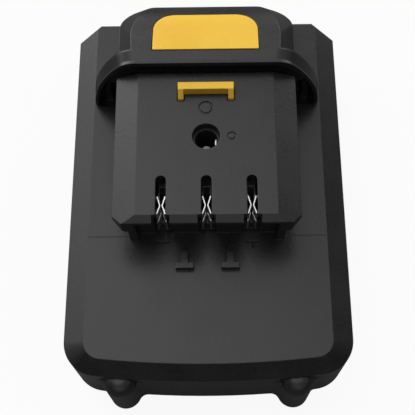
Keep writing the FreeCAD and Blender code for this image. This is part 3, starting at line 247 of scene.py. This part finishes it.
def coil_spring(name, node):
    """A coil in the place of a CAD spring, from its box, its wire and its pitch."""
    low, high = (Vector(corner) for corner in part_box(node))
    height = high.z - low.z
    radius = (high.x - low.x - WIRE) / 2
    foot = Vector(((low.x + high.x) / 2, (low.y + high.y) / 2, low.z))
    turns = (height - WIRE) / PITCH
    steps = round(turns * STEPS_PER_TURN)
    points, faces = [], []
    for step in range(steps + 1):
        angle = 2 * math.pi * turns * step / steps
        outward = Vector((math.cos(angle), math.sin(angle), 0))
        rise = WIRE / 2 + PITCH * turns * step / steps
        middle = foot + outward * radius + Vector((0, 0, rise))
        for side in range(WIRE_SIDES):
            round_wire = 2 * math.pi * side / WIRE_SIDES
            lift = Vector((0, 0, math.sin(round_wire)))
            points.append(middle + (outward * math.cos(round_wire) + lift) * WIRE / 2)
    for step in range(steps):
        for side in range(WIRE_SIDES):
            a, b = step * WIRE_SIDES + side, step * WIRE_SIDES + (side + 1) % WIRE_SIDES
            faces.append((a, a + WIRE_SIDES, b + WIRE_SIDES, b))
    faces.append(tuple(range(WIRE_SIDES)))
    faces.append(tuple(reversed(range(steps * WIRE_SIDES, (steps + 1) * WIRE_SIDES))))
    mesh = bpy.data.meshes.new(name)
    mesh.from_pydata([tuple(point) for point in points], [], faces)
    for polygon in mesh.polygons:
        polygon.use_smooth = True
    mesh.materials.append(finishes["steel"])
    coil = bpy.data.objects.new(name, mesh)
    bpy.context.scene.collection.objects.link(coil)
    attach(coil, "housing")
    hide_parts(node)
    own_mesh(coil)


coil_spring("coil_left", "latch_spring_left")
coil_spring("coil_right", "latch_spring_right")


# Floor

FLOOR_SIZE, FLOOR_LEVEL = 4.0, -0.2 * MM
FLOOR_WHITE, FLOOR_GREY, FLOOR_PATCH = (0.96,) * 3, (0.14,) * 3, (0.99,) * 3
PATCH_SCALE, PATCH_SHARE = 0.05, 0.03
MIRROR_SHARE = 0.02  # of the white that glossy reflections see
GLOW_SHARE = 0.92  # of the white that glows by itself, so that only the rest takes a shadow


def floor_material():
    """White with a light shadow to the camera; a dim grey in bounced light and reflections."""
    g = Graph(bpy.data.materials.new("floor_white"))
    grain = g.noise(g.coords(), PATCH_SCALE, detail=2.0, rough=0.5)
    path = g.add("ShaderNodeLightPath")
    clear = g.maths("MAXIMUM", path.outputs["Is Camera Ray"], path.outputs["Is Transmission Ray"])
    mirrored = g.maths("MULTIPLY", path.outputs["Is Glossy Ray"], MIRROR_SHARE)
    shown = g.maths("MAXIMUM", clear, mirrored)
    tone = g.mix(shown, FLOOR_GREY, FLOOR_WHITE)
    patches = g.remap(grain, (0.0, 1.0), (0.0, PATCH_SHARE))
    diffuse = g.add("ShaderNodeBsdfDiffuse", {
        "Color": g.mix(patches, tone, FLOOR_PATCH), "Roughness": 0.5,
    })
    glow = g.add("ShaderNodeEmission", {"Color": (1, 1, 1, 1), "Strength": 1.0})
    both = g.add("ShaderNodeMixShader", {
        0: g.maths("MULTIPLY", shown, GLOW_SHARE), 1: diffuse.outputs[0], 2: glow.outputs[0],
    })
    g.link(both.outputs[0], g.out.inputs["Surface"])
    return g.owner


bpy.ops.mesh.primitive_plane_add(size=FLOOR_SIZE, location=(0, 0, FLOOR_LEVEL))
floor = bpy.context.active_object
floor.name = "floor"
floor.data.materials.append(floor_material())


# Soft lights of the studio: azimuth from +Y towards +X, height over the floor, strength

SKY_LIGHTS = (
    (0, 90, 0.29),
    (-103, 70, 0.26),
    (-51, 70, 0.79),
    (0, 70, 0.57),
    (51, 70, 0.17),
    (-164, 50, 0.31),
    (-65, 50, 0.10),
    (-33, 50, 0.60),
    (65, 50, 0.12),
    (98, 50, 0.33),
    (164, 50, 0.31),
    (-150, 30, 0.16),
    (-90, 30, 0.13),
    (-60, 30, 0.99),
    (-30, 30, 1.64),
    (30, 30, 1.15),
    (90, 30, 0.14),
    (150, 30, 0.16),
    (180, 30, 0.16),
    (-90, 10, 0.22),
    (-60, 10, 1.02),
    (-30, 10, 2.61),
    (0, 10, 0.18),
    (30, 10, 1.91),
    (60, 10, 0.14),
)
LIGHT_EDGE, LIGHT_CORE = 28.0, 4.0  # degrees from a light's middle where it ends and is full


def light_way(azimuth, height):
    turn, lift = math.radians(azimuth), math.radians(height)
    level = math.cos(lift)
    return Vector((level * math.sin(turn), level * math.cos(turn), math.sin(lift)))


def make_world():
    """A studio that is bright behind, most of all low on the left, and dim in front.

    The camera sees white wherever the lights leave the world darker than that.
    """
    world = bpy.data.worlds.new("studio")
    bpy.context.scene.world = world
    g = Graph(world, "ShaderNodeOutputWorld")
    source = g.add("ShaderNodeTexCoord").outputs["Generated"]
    span = [math.cos(math.radians(angle)) for angle in (LIGHT_EDGE, LIGHT_CORE)]
    light = 0.0
    for azimuth, height, strength in SKY_LIGHTS:
        facing = g.dot(source, light_way(azimuth, height))
        lobe = g.remap(facing, span, interpolation_type="SMOOTHSTEP")
        light = g.maths("ADD", light, g.maths("MULTIPLY", lobe, strength))
    camera_ray = g.add("ShaderNodeLightPath").outputs["Is Camera Ray"]
    back = g.add("ShaderNodeBackground", {
        "Color": (1, 1, 1, 1), "Strength": g.maths("MAXIMUM", light, camera_ray),
    })
    g.link(back.outputs[0], g.out.inputs["Surface"])


make_world()


# Camera, as fitted to the photograph

SENSOR_WIDTH, PHOTO_WIDTH, FOCAL_PIXELS = 36.0, 415.0, 871.769
NEAR_LIMIT = 0.01
CAMERA_AT = (0.002344, -0.093746, 0.244199)
RIGHT_WAY = (0.999904, -0.005525, -0.012734)
LOOK_WAY = (-0.009739, 0.37448, -0.927184)

camera_data = bpy.data.cameras.new("photo_camera")
camera_data.sensor_width = SENSOR_WIDTH
camera_data.lens = FOCAL_PIXELS / PHOTO_WIDTH * SENSOR_WIDTH
camera_data.clip_start = NEAR_LIMIT
camera = bpy.data.objects.new("photo_camera", camera_data)
bpy.context.scene.collection.objects.link(camera)
forward = Vector(LOOK_WAY).normalized()
upward = Vector(RIGHT_WAY).normalized().cross(forward)
right_way = forward.cross(upward)
turn = Matrix((right_way, upward, -forward)).transposed()
camera.matrix_world = Matrix.Translation(CAMERA_AT) @ turn.to_4x4()
bpy.context.scene.camera = camera
bpy.context.scene.view_settings.view_transform = "Standard"
